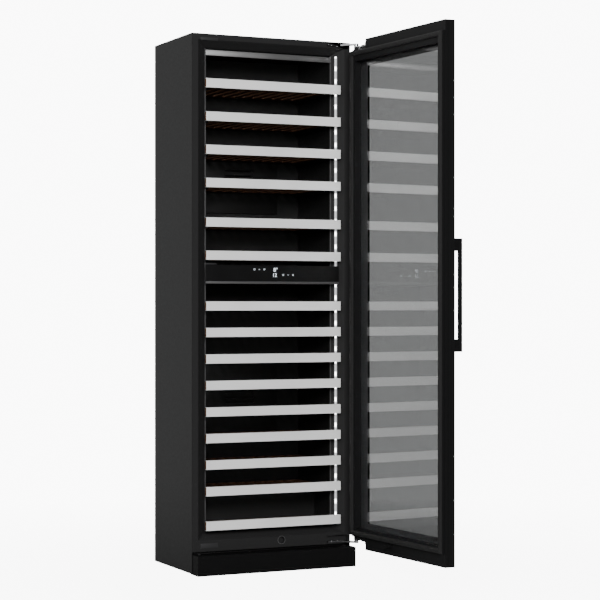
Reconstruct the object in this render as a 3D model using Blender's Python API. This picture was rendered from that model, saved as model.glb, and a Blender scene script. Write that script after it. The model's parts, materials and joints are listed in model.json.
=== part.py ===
"""Tall free-standing wine cooler with two temperature zones, its glass door standing open.

Frame: metres, +X to the right seen from the front, -Y towards the viewer, +Z up.
The origin is on the floor, on the plinth's bottom flange, at the middle of the cabinet's
width and in the plane of the cabinet's front face (y = 0).
"""

import math

import bmesh
import bpy
from mathutils import Matrix, Vector

# ---- driving dimensions -------------------------------------------------------------
WIDTH = 0.595
HEIGHT = 1.8256
DEPTH = 0.355
GAP = 0.0003
OVERRUN = 0.005
SHEET = 0.001

# Plinth, base and rear skid.
PLINTH_HEIGHT = 0.068
PLINTH_WALL = 0.0015
PLINTH_SIDE_GAP = 0.0007
PLINTH_TUCK = 0.015
SIDE_LIFT = 0.003
SKID_HEIGHT = 0.022
SKID_WIDTH = 0.030
SKID_INSET = 0.0475
SKID_REAR = 0.030
SKID_EDGE = 0.003
BASE_SHEET = 0.0015
BASE_PLINTH_GAP = 0.003

# Slots in the back sheet.
SLOT_COUNT = 8
SLOT_LOW = 0.060
SLOT_PITCH = 0.018
SLOT_HEIGHT = 0.006
SLOT_LEFT = -0.20
SLOT_RIGHT = 0.04

# Front frame: flat border, then a chamfer down to the throat.
FRAME_LIFT = 0.008
FRAME_THICK = 0.018
BORDER_SIDE = 0.0218
BORDER_TOP = 0.0193
BORDER_BOTTOM = 0.038
CHAMFER_SIDE = 0.0386
CHAMFER_TOP = 0.025
CHAMFER_BOTTOM = 0.026
CHAMFER_DEPTH = 0.033
CHAMFER_WALL_SIDE = 0.018
CHAMFER_WALL_TOP = 0.006
CHAMFER_WALL_BOTTOM = 0.004
FRAME_LIP = 0.003

# Inner walls.
LINER = 0.002
REAR_SPACE = 0.055
MACHINE_SPACE = 0.195
STEP_HEIGHT = 0.250
LEDGE_WIDTH = 0.0168
LEDGE_THICK = 0.006
LEDGE_START = 0.010

# Shelves.
FRONT_HEIGHT = 0.031
FRONT_OVERHANG = 0.0162
FRONT_Y = -0.018
FRONT_RETURN = 0.010
RAIL_DEPTH = 0.012
RAIL_BITE = 0.001
TRAY_SIDE_GAP = 0.0018
TRAY_REAR_GAP = 0.010
TRAY_THICK = 0.008
TRAY_DROP = 0.0185
TRAY_BORDER = 0.026
TRAY_FRONT_BOARD = 0.042
SLAT_WIDTH = 0.020
WINDOW_COUNT = 11
TOP_SHELF_DROP = 0.1526
UPPER_PITCH = 0.112
UPPER_COUNT = 4
TALL_GAP = 0.133
LOWER_SHELF_DROP = 0.123
LOWER_PITCH = 0.0894
LOWER_COUNT = 8
BOTTOM_GAP = 0.1162

# Divider between the zones and its touch panel.
DIVIDER_TOP = 1.0440
DIVIDER_HEIGHT = 0.062
DIVIDER_WALL = 0.004
DIVIDER_SIDE_GAP = 0.0008
DIVIDER_PROUD = 0.0035
PANEL_HEIGHT = 0.0545
PANEL_OVERHANG = 0.0137
PANEL_THICK = 0.004

# Light strips on the right-hand chamfer.
LED_WIDTH = 0.009
LED_THICK = 0.0025
LED_PLACE = 0.41
LED_FOOT = 0.032
LED_HEAD = 0.003
LED_DIVIDER_GAP = 0.0005
LED_UNDER_DIVIDER = 0.0015

# Door leaf, glazing and seal.
PROUD = 0.050
DOOR_LIFT = 0.0015
DOOR_TOP_DROP = 0.0043
DOOR_THICK = 0.036
DOOR_LAND = 0.005
LAND_EDGE = 0.005
LAND_TOP_IN = 0.0343
LAND_BOTTOM_IN = 0.0425
DOOR_STILE = 0.037
VIEW_TOP_IN = 0.0713
VIEW_BOTTOM_IN = 0.0675
REBATE = 0.008
PANE = 0.0037
PANE_SEAT = 0.016
GASKET_WIDTH = 0.018
GASKET_EDGE = 0.0055
GASKET_LAND_EDGE = 0.0005
GASKET_TAPER = 0.001
GASKET_SHOULDER = 0.0030
GASKET_REST = 0.0008
GASKET_CREST = 0.004
GROOVE_DEPTH = 0.0012
GROOVES = ((0.0026, 0.0059), (0.0100, 0.0037), (0.0197, 0.0052))

# Hinges: arms in the frame's pockets, brackets in the door's notches.
PIVOT_OUTSIDE = 0.0045
PIVOT_IN = 0.010
OPEN_ANGLE = 93.9
NOTCH_LENGTH = 0.100
NOTCH_TOP_DEPTH = 0.0328
NOTCH_BOTTOM_DEPTH = 0.0410
NOTCH_END = 0.030
ARM_THICK = 0.005
ARM_GAP = 0.001
ARM_EDGE = 0.002
ARM_INSET = 0.006
ARM_SHOULDER = 0.030
PIN_RADIUS = 0.0035
PIN_CLEARANCE = 0.0003
PIN_TIP = 0.002
KNUCKLE_RADIUS = 0.008
KNUCKLE_HEIGHT = 0.024
BRACKET_PLATE = 0.004
BRACKET_END_GAP = 0.002
BRACKET_FRONT = 0.005
BRACKET_REAR = 0.004
POCKET_EDGE = 0.0074
POCKET_LENGTH = 0.0803
POCKET_DEPTH = 0.014
POCKET_ROOF = 0.0008
TOP_POCKET_HEIGHT = 0.020
POCKET_SILL = 0.003
BOTTOM_POCKET_HEIGHT = 0.027

# Handle.
HANDLE_BAR = 0.012
HANDLE_STANDOFF = 0.030
HANDLE_LENGTH = 0.3657
HANDLE_POST = 0.041
HANDLE_BOTTOM = 0.7577
HANDLE_INSET = 0.025
HANDLE_EDGE = 0.0012

# Lock in the door's foot.
LOCK_X = 0.034
LOCK_RISE = 0.0245
LOCK_RADIUS = 0.009
LOCK_STEM_RADIUS = 0.005
LOCK_KEEP_RADIUS = 0.0125
LOCK_REACH = 0.010
LOCK_PROUD = 0.003
LOCK_SUNK = 0.0015
CAM_REACH = 0.0085
CAM_HALF_WIDTH = 0.004
CAM_THICK = 0.0035
CAM_TIP = 0.0005
KEY_HALF_WIDTH = 0.0009
KEY_HALF_HEIGHT = 0.0045
KEY_DEPTH = 0.006

# Fan behind the upper zone, and the compressor.
FAN_Z = 1.350
FAN_RADIUS = 0.045
FAN_HUB_RADIUS = 0.018
FAN_HUB_DEPTH = 0.021
FAN_CLEARANCE = 0.005
FAN_BLADES = 7
FAN_SEGMENTS = 21
BLADE_PITCH = 35
BLADE_THICK = 0.0016
BLADE_CHORD = 0.019
BLADE_ROOT = 0.003
MOTOR_RADIUS = 0.016
VENT_HALF_WIDTH = 0.050
VENT_HALF_HEIGHT = 0.004
VENT_PITCH = 0.018
COMPRESSOR_X = -0.110
COMPRESSOR_SHELL = ((0.082, 0.0), (0.082, 0.004), (0.068, 0.006), (0.070, 0.030), (0.070, 0.110),
                    (0.062, 0.140), (0.040, 0.158), (0.0, 0.164))
COMPRESSOR_HOLLOW = ((0.0, 0.156), (0.036, 0.150), (0.054, 0.135), (0.062, 0.108), (0.062, 0.0))

# ---- sizes that follow --------------------------------------------------------------
HALF = WIDTH / 2
INNER_HALF = HALF - SHEET - GAP
THROAT_HALF = INNER_HALF - BORDER_SIDE - CHAMFER_SIDE
FRAME_BOTTOM = PLINTH_HEIGHT + FRAME_LIFT
FRAME_TOP = HEIGHT - SHEET - GAP
THROAT_TOP = FRAME_TOP - BORDER_TOP - CHAMFER_TOP
THROAT_BOTTOM = FRAME_BOTTOM + BORDER_BOTTOM + CHAMFER_BOTTOM
LINER_FRONT_Y = CHAMFER_DEPTH + FRAME_LIP + GAP
LINER_BACK_Y = DEPTH - REAR_SPACE
STEP_Y = DEPTH - MACHINE_SPACE
FLOOR_Z = THROAT_BOTTOM - LINER
BACK_Y = DEPTH - SHEET
SKID_HALF_LENGTH = HALF - SKID_INSET
FRONT_HALF_WIDTH = THROAT_HALF + FRONT_OVERHANG
UPPER_SHELF_TOP = HEIGHT - TOP_SHELF_DROP
LOWER_SHELF_TOP = DIVIDER_TOP - LOWER_SHELF_DROP
DIVIDER_BOTTOM = DIVIDER_TOP - DIVIDER_HEIGHT
PANEL_HALF_WIDTH = THROAT_HALF + PANEL_OVERHANG
POCKET_RIGHT = INNER_HALF - POCKET_EDGE
POCKET_LEFT = POCKET_RIGHT - POCKET_LENGTH
BOTTOM_POCKET_Z = FRAME_BOTTOM + POCKET_SILL
PIVOT = Vector((HALF + PIVOT_OUTSIDE, -PROUD + PIVOT_IN, 0.0))
DOOR_INNER_Y = -PROUD + DOOR_THICK
DOOR_BOTTOM = PLINTH_HEIGHT + DOOR_LIFT
DOOR_TOP = HEIGHT - DOOR_TOP_DROP
LAND_BOTTOM = DOOR_BOTTOM + LAND_BOTTOM_IN
LAND_TOP = DOOR_TOP - LAND_TOP_IN
DOOR_VIEW_BOTTOM = DOOR_BOTTOM + VIEW_BOTTOM_IN
DOOR_VIEW_TOP = DOOR_TOP - VIEW_TOP_IN
PANE_SEAT_Y = -PROUD + PANE_SEAT
LOCK_Z = FRAME_BOTTOM + LOCK_RISE


# ---- helpers ------------------------------------------------------------------------
def clear_scene():
    for old in list(bpy.data.objects):
        bpy.data.objects.remove(old, do_unlink=True)


def finish(obj, colour, roughness, metallic):
    """Gives the object its own Principled material."""
    material = bpy.data.materials.new(obj.name + "_finish")
    material.use_nodes = True
    shader = material.node_tree.nodes["Principled BSDF"]
    shader.inputs["Base Color"].default_value = (*colour, 1.0)
    shader.inputs["Roughness"].default_value = roughness
    shader.inputs["Metallic"].default_value = metallic
    material.diffuse_color = (*colour, 1.0)
    obj.data.materials.clear()
    obj.data.materials.append(material)
    return obj


def object_from(name, shape, parent=None):
    """Makes an object of a bmesh, with its faces pointing outwards."""
    bmesh.ops.recalc_face_normals(shape, faces=shape.faces)
    mesh = bpy.data.meshes.new(name)
    shape.to_mesh(mesh)
    shape.free()
    obj = bpy.data.objects.new(name, mesh)
    bpy.context.scene.collection.objects.link(obj)
    obj.parent = parent
    return obj


def add_box(shape, low, high):
    """Adds a box between two corners to the bmesh."""
    size = [high[i] - low[i] for i in range(3)]
    middle = [(high[i] + low[i]) / 2 for i in range(3)]
    place = Matrix.Translation(middle) @ Matrix.Diagonal((*size, 1.0))
    bmesh.ops.create_cube(shape, size=1.0, matrix=place)


def box(name, low, high, parent=None):
    shape = bmesh.new()
    add_box(shape, low, high)
    return object_from(name, shape, parent)


def add_prism(shape, outline, axis, low, high):
    """Adds an outline, given in the plane across the axis, extruded along it."""
    def at(point, along):
        u, v = point
        return {"X": (along, u, v), "Y": (u, along, v), "Z": (u, v, along)}[axis]

    corners = [shape.verts.new(at(point, low)) for point in outline]
    face = shape.faces.new(corners)
    made = bmesh.ops.extrude_face_region(shape, geom=[face])
    moved = [item for item in made["geom"] if isinstance(item, bmesh.types.BMVert)]
    bmesh.ops.translate(shape, verts=moved, vec=at((0.0, 0.0), high - low))


def prism(name, outline, axis, low, high, parent=None):
    shape = bmesh.new()
    add_prism(shape, outline, axis, low, high)
    return object_from(name, shape, parent)


def ring(name, loops, parent=None):
    """A closed frame: each loop is (left, right, low, high, y), bridged to the next."""
    shape = bmesh.new()
    rows = []
    for left, right, low, high, y in loops:
        corners = ((left, low), (right, low), (right, high), (left, high))
        rows.append([shape.verts.new((x, y, z)) for x, z in corners])
    for row, following in zip(rows, rows[1:] + rows[:1]):
        for i in range(4):
            j = (i + 1) % 4
            shape.faces.new((row[i], row[j], following[j], following[i]))
    return object_from(name, shape, parent)


def add_lathe(shape, profile, centre, axis="Z", segments=28):
    """Adds a turned solid: profile is (radius, along the axis), closed onto the axis."""
    turn = {"Z": Matrix(), "Y": Matrix.Rotation(math.radians(-90), 4, "X")}[axis]
    place = Matrix.Translation(centre) @ turn
    rows = []
    for radius, along in profile:
        if radius == 0.0:
            rows.append([shape.verts.new(place @ Vector((0.0, 0.0, along)))])
            continue
        row = []
        for i in range(segments):
            angle = 2 * math.pi * i / segments
            point = Vector((radius * math.cos(angle), radius * math.sin(angle), along))
            row.append(shape.verts.new(place @ point))
        rows.append(row)
    for row, following in zip(rows, rows[1:]):
        for i in range(segments):
            j = (i + 1) % segments
            if len(row) == 1:
                shape.faces.new((row[0], following[i], following[j]))
            elif len(following) == 1:
                shape.faces.new((row[i], following[0], row[j]))
            else:
                shape.faces.new((row[i], following[i], following[j], row[j]))


def lathe(name, profile, centre, axis="Z", segments=28, parent=None):
    shape = bmesh.new()
    add_lathe(shape, profile, centre, axis, segments)
    obj = object_from(name, shape, parent)
    obj.data.shade_smooth()
    obj.data.set_sharp_from_angle(angle=math.radians(35))
    return obj


def rod(radius, low, high):
    """The lathe profile of a plain cylinder."""
    return [(0.0, low), (radius, low), (radius, high), (0.0, high)]


def helper(obj):
    """Hides a cutter or a guide from the build and the render."""
    obj.hide_render = True
    obj.display_type = "WIRE"
    return obj


def boolean(obj, other, operation):
    modifier = obj.modifiers.new(operation.title(), "BOOLEAN")
    modifier.object = helper(other)
    modifier.operation = operation
    return modifier


def cut(obj, cutter):
    boolean(obj, cutter, "DIFFERENCE")


def join(obj, other):
    boolean(obj, other, "UNION")


def bevel(obj, width, segments=1):
    modifier = obj.modifiers.new("Bevel", "BEVEL")
    modifier.width = width
    modifier.segments = segments
    modifier.limit_method = "ANGLE"


def settled_mesh(obj, name):
    """The object's mesh with its modifiers applied, for copies to share."""
    graph = bpy.context.evaluated_depsgraph_get()
    return bpy.data.meshes.new_from_object(obj.evaluated_get(graph)).copy()


BLACK = (0.035, 0.036, 0.037)
DARK = (0.020, 0.020, 0.021)
STEEL = (0.62, 0.62, 0.61)
CHROME = (0.75, 0.75, 0.76)
WOOD = (0.42, 0.21, 0.10)
GLASS = (0.10, 0.11, 0.11)
LIGHT = (0.95, 0.96, 1.00)


# ---- casing -------------------------------------------------------------------------
def make_casing():
    """Side sheets, top sheet, back sheet, base pan, plinth and the rear skid."""
    for side, name in ((-1, "side_panel_left"), (1, "side_panel_right")):
        outer, inner = side * HALF, side * (HALF - SHEET)
        low = (min(outer, inner), 0.0, SIDE_LIFT)
        high = (max(outer, inner), DEPTH, HEIGHT)
        finish(box(name, low, high), BLACK, 0.45, 0.2)

    low = (-INNER_HALF, 0.0, HEIGHT - SHEET)
    finish(box("top_panel", low, (INNER_HALF, BACK_Y - GAP, HEIGHT)), BLACK, 0.45, 0.2)

    base_top = SKID_HEIGHT + BASE_SHEET
    low = (-INNER_HALF + GAP, PLINTH_TUCK + BASE_PLINTH_GAP, SKID_HEIGHT)
    base = box("base_pan", low, (INNER_HALF - GAP, BACK_Y - GAP, base_top))
    finish(base, DARK, 0.6, 0.3)

    back = box("back_panel", (-INNER_HALF, BACK_Y, base_top + GAP), (INNER_HALF, DEPTH, HEIGHT - SHEET - GAP))
    slots = bmesh.new()
    for i in range(SLOT_COUNT):
        z = SLOT_LOW + i * SLOT_PITCH
        add_box(slots, (SLOT_LEFT, BACK_Y - OVERRUN, z), (SLOT_RIGHT, DEPTH + OVERRUN, z + SLOT_HEIGHT))
    cut(back, object_from("back_slots", slots))
    finish(back, DARK, 0.6, 0.3)

    make_plinth()
    rear = DEPTH - SKID_REAR
    low = (-SKID_HALF_LENGTH, rear - SKID_WIDTH, 0.0)
    skid = box("rear_skid", low, (SKID_HALF_LENGTH, rear, SKID_HEIGHT - GAP))
    bevel(skid, SKID_EDGE)
    finish(skid, DARK, 0.7, 0.0)


def make_plinth():
    """A folded box open to the rear, standing on the floor in front of the cabinet."""
    half = INNER_HALF - PLINTH_SIDE_GAP
    plinth = box("plinth", (-half, -PROUD, 0.0), (half, PLINTH_TUCK, PLINTH_HEIGHT))
    hollow = box("plinth_hollow", (-half + PLINTH_WALL, -PROUD + PLINTH_WALL, PLINTH_WALL),
                 (half - PLINTH_WALL, PLINTH_TUCK + OVERRUN, PLINTH_HEIGHT - PLINTH_WALL))
    cut(plinth, hollow)
    finish(plinth, BLACK, 0.5, 0.2)


def make_front_frame():
    """The moulded surround of the opening, with its chamfer, hinge pockets and lock keep."""
    flat_half = INNER_HALF - BORDER_SIDE
    back_half = flat_half - CHAMFER_WALL_SIDE
    loops = [
        (-INNER_HALF, INNER_HALF, FRAME_BOTTOM, FRAME_TOP, 0.0),
        (-flat_half, flat_half, FRAME_BOTTOM + BORDER_BOTTOM, FRAME_TOP - BORDER_TOP, 0.0),
        (-THROAT_HALF, THROAT_HALF, THROAT_BOTTOM, THROAT_TOP, CHAMFER_DEPTH),
        (-THROAT_HALF, THROAT_HALF, THROAT_BOTTOM, THROAT_TOP, CHAMFER_DEPTH + FRAME_LIP),
        (-back_half, back_half, FRAME_BOTTOM + BORDER_BOTTOM + CHAMFER_WALL_BOTTOM,
         FRAME_TOP - BORDER_TOP - CHAMFER_WALL_TOP, CHAMFER_DEPTH + FRAME_LIP),
        (-flat_half, flat_half, FRAME_BOTTOM + BORDER_BOTTOM, FRAME_TOP - BORDER_TOP, FRAME_THICK),
        (-INNER_HALF, INNER_HALF, FRAME_BOTTOM, FRAME_TOP, FRAME_THICK),
    ]
    frame = ring("front_frame", loops)
    pockets = bmesh.new()
    top = FRAME_TOP - POCKET_ROOF
    add_box(pockets, (POCKET_LEFT, -OVERRUN, top - TOP_POCKET_HEIGHT), (POCKET_RIGHT, POCKET_DEPTH, top))
    bottom = BOTTOM_POCKET_Z
    add_box(pockets, (POCKET_LEFT, -OVERRUN, bottom),
            (POCKET_RIGHT, POCKET_DEPTH, bottom + BOTTOM_POCKET_HEIGHT))
    keep = rod(LOCK_KEEP_RADIUS, -OVERRUN, POCKET_DEPTH)
    add_lathe(pockets, keep, (LOCK_X, 0.0, LOCK_Z), axis="Y", segments=24)
    cut(frame, object_from("frame_pockets", pockets))
    finish(frame, BLACK, 0.5, 0.0)


# ---- inside -------------------------------------------------------------------------
def shelf_heights():
    """The height of each shelf front's top edge, from the highest shelf down."""
    upper = [UPPER_SHELF_TOP - i * UPPER_PITCH for i in range(UPPER_COUNT)]
    upper.append(upper[-1] - TALL_GAP)
    upper.append(upper[-1] - UPPER_PITCH)
    lower = [LOWER_SHELF_TOP - i * LOWER_PITCH for i in range(LOWER_COUNT)]
    lower.append(lower[-1] - BOTTOM_GAP)
    return upper + lower


def tray_bottom(top):
    return top - TRAY_DROP - TRAY_THICK


def tray_rear(top):
    """Trays reach back almost to the wall behind them, which is a step low down."""
    wall = LINER_BACK_Y if tray_bottom(top) - LEDGE_THICK > STEP_HEIGHT else STEP_Y
    return wall - TRAY_REAR_GAP


def make_liner():
    """Side walls with a ledge under each shelf, a roof, a back, and a floor that steps up behind."""
    for side, name in ((-1, "liner_left"), (1, "liner_right")):
        near, far = side * THROAT_HALF, side * (THROAT_HALF + LINER)
        ledge = side * (THROAT_HALF - LEDGE_WIDTH)
        wall = box(name, (min(near, far), LINER_FRONT_Y, FLOOR_Z - LINER),
                   (max(near, far), LINER_BACK_Y + LINER, THROAT_TOP + LINER))
        ledges = bmesh.new()
        for top in shelf_heights():
            high = tray_bottom(top) - GAP
            bite = side * (THROAT_HALF + LINER / 2)
            add_box(ledges, (min(ledge, bite), LINER_FRONT_Y + LEDGE_START, high - LEDGE_THICK),
                    (max(ledge, bite), tray_rear(top), high))
        join(wall, object_from(name + "_ledges", ledges))
        finish(wall, DARK, 0.55, 0.0)

    half = THROAT_HALF - GAP
    front, back, step = LINER_FRONT_Y, LINER_BACK_Y, STEP_Y
    roof = box("liner_top", (-half, front, THROAT_TOP), (half, back + LINER, THROAT_TOP + LINER))
    finish(roof, DARK, 0.55, 0.0)

    wall = box("liner_back", (-half, back, STEP_HEIGHT + GAP), (half, back + LINER, THROAT_TOP - GAP))
    vents = bmesh.new()
    for i in range(-2, 3):
        z = FAN_Z + i * VENT_PITCH
        add_box(vents, (-VENT_HALF_WIDTH, back - OVERRUN, z - VENT_HALF_HEIGHT),
                (VENT_HALF_WIDTH, back + LINER + OVERRUN, z + VENT_HALF_HEIGHT))
    cut(wall, object_from("liner_vents", vents))
    finish(wall, DARK, 0.55, 0.0)

    rear, low, high = back + LINER, FLOOR_Z - LINER, STEP_HEIGHT - LINER
    upper = [(front, FLOOR_Z), (step, FLOOR_Z), (step, STEP_HEIGHT), (rear, STEP_HEIGHT)]
    under = [(rear, high), (step + LINER, high), (step + LINER, low), (front, low)]
    finish(prism("liner_floor", upper + under, "X", -half, half), DARK, 0.55, 0.0)


def make_divider():
    """The insulated wall between the zones, with the touch panel on its front."""
    half = THROAT_HALF - DIVIDER_SIDE_GAP
    wall = DIVIDER_WALL
    low = (-half, -DIVIDER_PROUD, DIVIDER_BOTTOM)
    divider = box("zone_divider", low, (half, LINER_BACK_Y - GAP, DIVIDER_TOP))
    hollow = box("divider_hollow", (-half + wall, -DIVIDER_PROUD + wall, DIVIDER_BOTTOM + wall),
                 (half - wall, LINER_BACK_Y + OVERRUN, DIVIDER_TOP - wall))
    cut(divider, hollow)
    finish(divider, DARK, 0.5, 0.0)
    rear = -DIVIDER_PROUD - GAP
    panel = box("control_panel", (-PANEL_HALF_WIDTH, rear - PANEL_THICK, DIVIDER_TOP - PANEL_HEIGHT),
                (PANEL_HALF_WIDTH, rear, DIVIDER_TOP))
    finish(panel, DARK, 0.15, 0.0)


def make_lights():
    """Light strips that lie on the right-hand chamfer, one in each zone."""
    run = Vector((CHAMFER_SIDE, -CHAMFER_DEPTH, 0.0))
    outward = Vector((-CHAMFER_DEPTH, -CHAMFER_SIDE, 0.0)).normalized()
    start = Vector((THROAT_HALF, CHAMFER_DEPTH, 0.0))
    middle = start + run * LED_PLACE + outward * (GAP + LED_THICK / 2)
    spans = (("light_strip_upper", DIVIDER_TOP + LED_DIVIDER_GAP, THROAT_TOP - LED_HEAD),
             ("light_strip_lower", THROAT_BOTTOM + LED_FOOT, DIVIDER_BOTTOM - LED_UNDER_DIVIDER))
    for name, low, high in spans:
        strip = box(name, (-LED_WIDTH / 2, -LED_THICK / 2, low), (LED_WIDTH / 2, LED_THICK / 2, high))
        strip.location = (middle.x, middle.y, 0.0)
        strip.rotation_euler = (0.0, 0.0, math.atan2(run.y, run.x))
        finish(strip, LIGHT, 0.4, 0.0)


def make_cooling():
    """Compressor on the base pan behind the step, and the fan behind the upper zone's back."""
    base = SKID_HEIGHT + BASE_SHEET + GAP
    compressor_y = (STEP_Y + LINER + BACK_Y) / 2
    shape = bmesh.new()
    for profile in (COMPRESSOR_SHELL, COMPRESSOR_HOLLOW):
        add_lathe(shape, profile, (COMPRESSOR_X, compressor_y, base), segments=28)
    rims = [edge for edge in shape.edges if edge.is_boundary]
    bmesh.ops.bridge_loops(shape, edges=rims)
    compressor = object_from("compressor", shape)
    compressor.data.shade_smooth()
    compressor.data.set_sharp_from_angle(angle=math.radians(35))
    finish(compressor, DARK, 0.35, 0.5)

    motor_front = LINER_BACK_Y + LINER + FAN_CLEARANCE + FAN_HUB_DEPTH
    profile = rod(MOTOR_RADIUS, motor_front, BACK_Y - GAP)
    motor = lathe("fan_motor", profile, (0.0, 0.0, FAN_Z), axis="Y", segments=20)
    finish(motor, DARK, 0.4, 0.3)
    make_fan_rotor(motor_front)


def make_fan_rotor(motor_front):
    """Hub and pitched blades in one moulding, turned about the Y axis on the motor's shaft."""
    axle = bpy.data.objects.new("fan_axle", None)
    axle.location = (0.0, 0.0, FAN_Z)
    bpy.context.scene.collection.objects.link(axle)
    front = LINER_BACK_Y + LINER + FAN_CLEARANCE
    rear = motor_front - GAP
    hub = rod(FAN_HUB_RADIUS, front, rear)
    rotor = lathe("fan_rotor", hub, (0.0, 0.0, 0.0), axis="Y", segments=FAN_SEGMENTS, parent=axle)
    length = FAN_RADIUS - FAN_HUB_RADIUS + BLADE_ROOT
    blades = bmesh.new()
    middle = (front + rear) / 2
    for i in range(FAN_BLADES):
        turn = Matrix.Rotation(2 * math.pi * i / FAN_BLADES, 4, "Y")
        out = Matrix.Translation((FAN_HUB_RADIUS - BLADE_ROOT + length / 2, middle, 0.0))
        pitch = Matrix.Rotation(math.radians(BLADE_PITCH), 4, "X")
        size = Matrix.Diagonal((length, BLADE_THICK, BLADE_CHORD, 1.0))
        bmesh.ops.create_cube(blades, size=1.0, matrix=turn @ out @ pitch @ size)
    join(rotor, object_from("fan_blades", blades, axle))
    finish(rotor, DARK, 0.4, 0.0)


# ---- shelves ------------------------------------------------------------------------
def tray_shape(rear):
    """A slatted wooden tray with a rail across its front, its top at z = 0 of the front's top."""
    half = THROAT_HALF - TRAY_SIDE_GAP
    rail_front = FRONT_Y + SHEET + GAP
    rail_rear = rail_front + RAIL_DEPTH
    low, high = -TRAY_DROP - TRAY_THICK, -TRAY_DROP
    board = box("tray_board", (-half, rail_rear - RAIL_BITE, low), (half, rear, high))
    windows = bmesh.new()
    clear = 2 * (half - TRAY_BORDER)
    pitch = clear / WINDOW_COUNT
    front_edge = rail_rear + TRAY_FRONT_BOARD
    for i in range(WINDOW_COUNT):
        left = -half + TRAY_BORDER + i * pitch + SLAT_WIDTH / 2
        right = left + pitch - SLAT_WIDTH
        add_box(windows, (left, front_edge, low - OVERRUN), (right, rear - TRAY_BORDER, high + OVERRUN))
    cut(board, object_from("tray_windows", windows))
    rail = box("tray_rail", (-FRONT_HALF_WIDTH, rail_front, -FRONT_HEIGHT + SHEET + GAP),
               (FRONT_HALF_WIDTH, rail_rear, -SHEET - GAP))
    join(board, rail)
    mesh = settled_mesh(board, "tray")
    for used in ("tray_board", "tray_windows", "tray_rail"):
        bpy.data.objects.remove(bpy.data.objects[used], do_unlink=True)
    return mesh


def front_outline():
    """The section of a shelf's steel cap, open to the rear, in y and z."""
    rear = FRONT_Y + FRONT_RETURN
    return [(FRONT_Y, 0.0), (FRONT_Y, -FRONT_HEIGHT), (rear, -FRONT_HEIGHT), (rear, -FRONT_HEIGHT + SHEET),
            (FRONT_Y + SHEET, -FRONT_HEIGHT + SHEET), (FRONT_Y + SHEET, -SHEET), (rear, -SHEET), (rear, 0.0)]


def make_shelves():
    meshes = {}
    cap = prism("shelf_cap", front_outline(), "X", -FRONT_HALF_WIDTH, FRONT_HALF_WIDTH)
    for number, top in enumerate(shelf_heights(), start=1):
        rear = tray_rear(top)
        if rear not in meshes:
            meshes[rear] = tray_shape(rear)
        tray = bpy.data.objects.new(f"shelf_tray_{number:02d}", meshes[rear].copy())
        front = bpy.data.objects.new(f"shelf_front_{number:02d}", cap.data.copy())
        for obj in (tray, front):
            bpy.context.scene.collection.objects.link(obj)
            obj.location = (0.0, 0.0, top)
        finish(tray, WOOD, 0.6, 0.0)
        finish(front, STEEL, 0.32, 1.0)
    bpy.data.objects.remove(cap, do_unlink=True)


# ---- hinges -------------------------------------------------------------------------
def round_end(centre, radius, start, stop, steps=8):
    """Points of an arc round a centre, between two angles in degrees."""
    angles = [math.radians(start + (stop - start) * i / steps) for i in range(steps + 1)]
    return [(centre[0] + radius * math.cos(a), centre[1] + radius * math.sin(a)) for a in angles]


def hinge_levels():
    """For each hinge: name, notch floor, and which way the bracket stands from it."""
    return (("top", DOOR_TOP - NOTCH_TOP_DEPTH, 1), ("bottom", DOOR_BOTTOM + NOTCH_BOTTOM_DEPTH, -1))


def make_hinge_arms():
    """Cranked arms that come forward out of the frame's pockets and carry the hinge pins."""
    for name, floor, up in hinge_levels():
        near = floor + up * (GAP + KNUCKLE_HEIGHT + ARM_GAP)
        far = near + up * ARM_THICK
        left, right, rear = POCKET_LEFT + ARM_INSET, POCKET_RIGHT - GAP, POCKET_DEPTH - GAP
        outline = [(left, rear), (left, ARM_EDGE), (POCKET_RIGHT - ARM_SHOULDER, ARM_EDGE)]
        outline += round_end((PIVOT.x, PIVOT.y), KNUCKLE_RADIUS, 215, 395)
        outline += [(right, -ARM_EDGE), (right, rear)]
        arm = prism("hinge_arm_" + name, outline, "Z", min(near, far), max(near, far))
        tip = floor + up * (GAP + PIN_TIP)
        root = near + up * ARM_THICK / 2
        low, high = min(tip, root), max(tip, root)
        pin = lathe("hinge_pin_" + name, rod(PIN_RADIUS, low, high), (PIVOT.x, PIVOT.y, 0.0), segments=20)
        join(arm, pin)
        finish(arm, CHROME, 0.2, 1.0)


def make_hinge_brackets(door):
    """Door-side plates that lie in the door's notches, each with a knuckle round its pin."""
    for name, floor, up in hinge_levels():
        seat = floor + up * GAP
        plate_top = seat + up * BRACKET_PLATE
        end = HALF - NOTCH_LENGTH + BRACKET_END_GAP - PIVOT.x
        front = -PROUD + BRACKET_FRONT - PIVOT.y
        rear = DOOR_INNER_Y - BRACKET_REAR - PIVOT.y
        corner = KNUCKLE_RADIUS / 2
        outline = [(end, rear), (end, front), (0.0, front), (0.0, corner), (-KNUCKLE_RADIUS, rear)]
        plate = prism("hinge_bracket_" + name, outline, "Z", min(seat, plate_top), max(seat, plate_top), door)
        knuckle_end = seat + up * KNUCKLE_HEIGHT
        root = seat + up * BRACKET_PLATE / 2
        low, high = min(root, knuckle_end), max(root, knuckle_end)
        barrel = rod(KNUCKLE_RADIUS, low, high)
        knuckle = lathe("knuckle_" + name, barrel, (0.0, 0.0, 0.0), segments=28, parent=door)
        join(plate, knuckle)
        bore = rod(PIN_RADIUS + PIN_CLEARANCE, low - OVERRUN, high + OVERRUN)
        cut(plate, lathe("bore_" + name, bore, (0.0, 0.0, 0.0), segments=28, parent=door))
        finish(plate, CHROME, 0.2, 1.0)


# ---- door ---------------------------------------------------------------------------
def door_loop(side_in, low, high, y):
    """A rectangle of the door at depth y, in the door's own frame, whose origin is the pivot."""
    return (-HALF + side_in - PIVOT.x, HALF - side_in - PIVOT.x, low, high, y - PIVOT.y)


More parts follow.
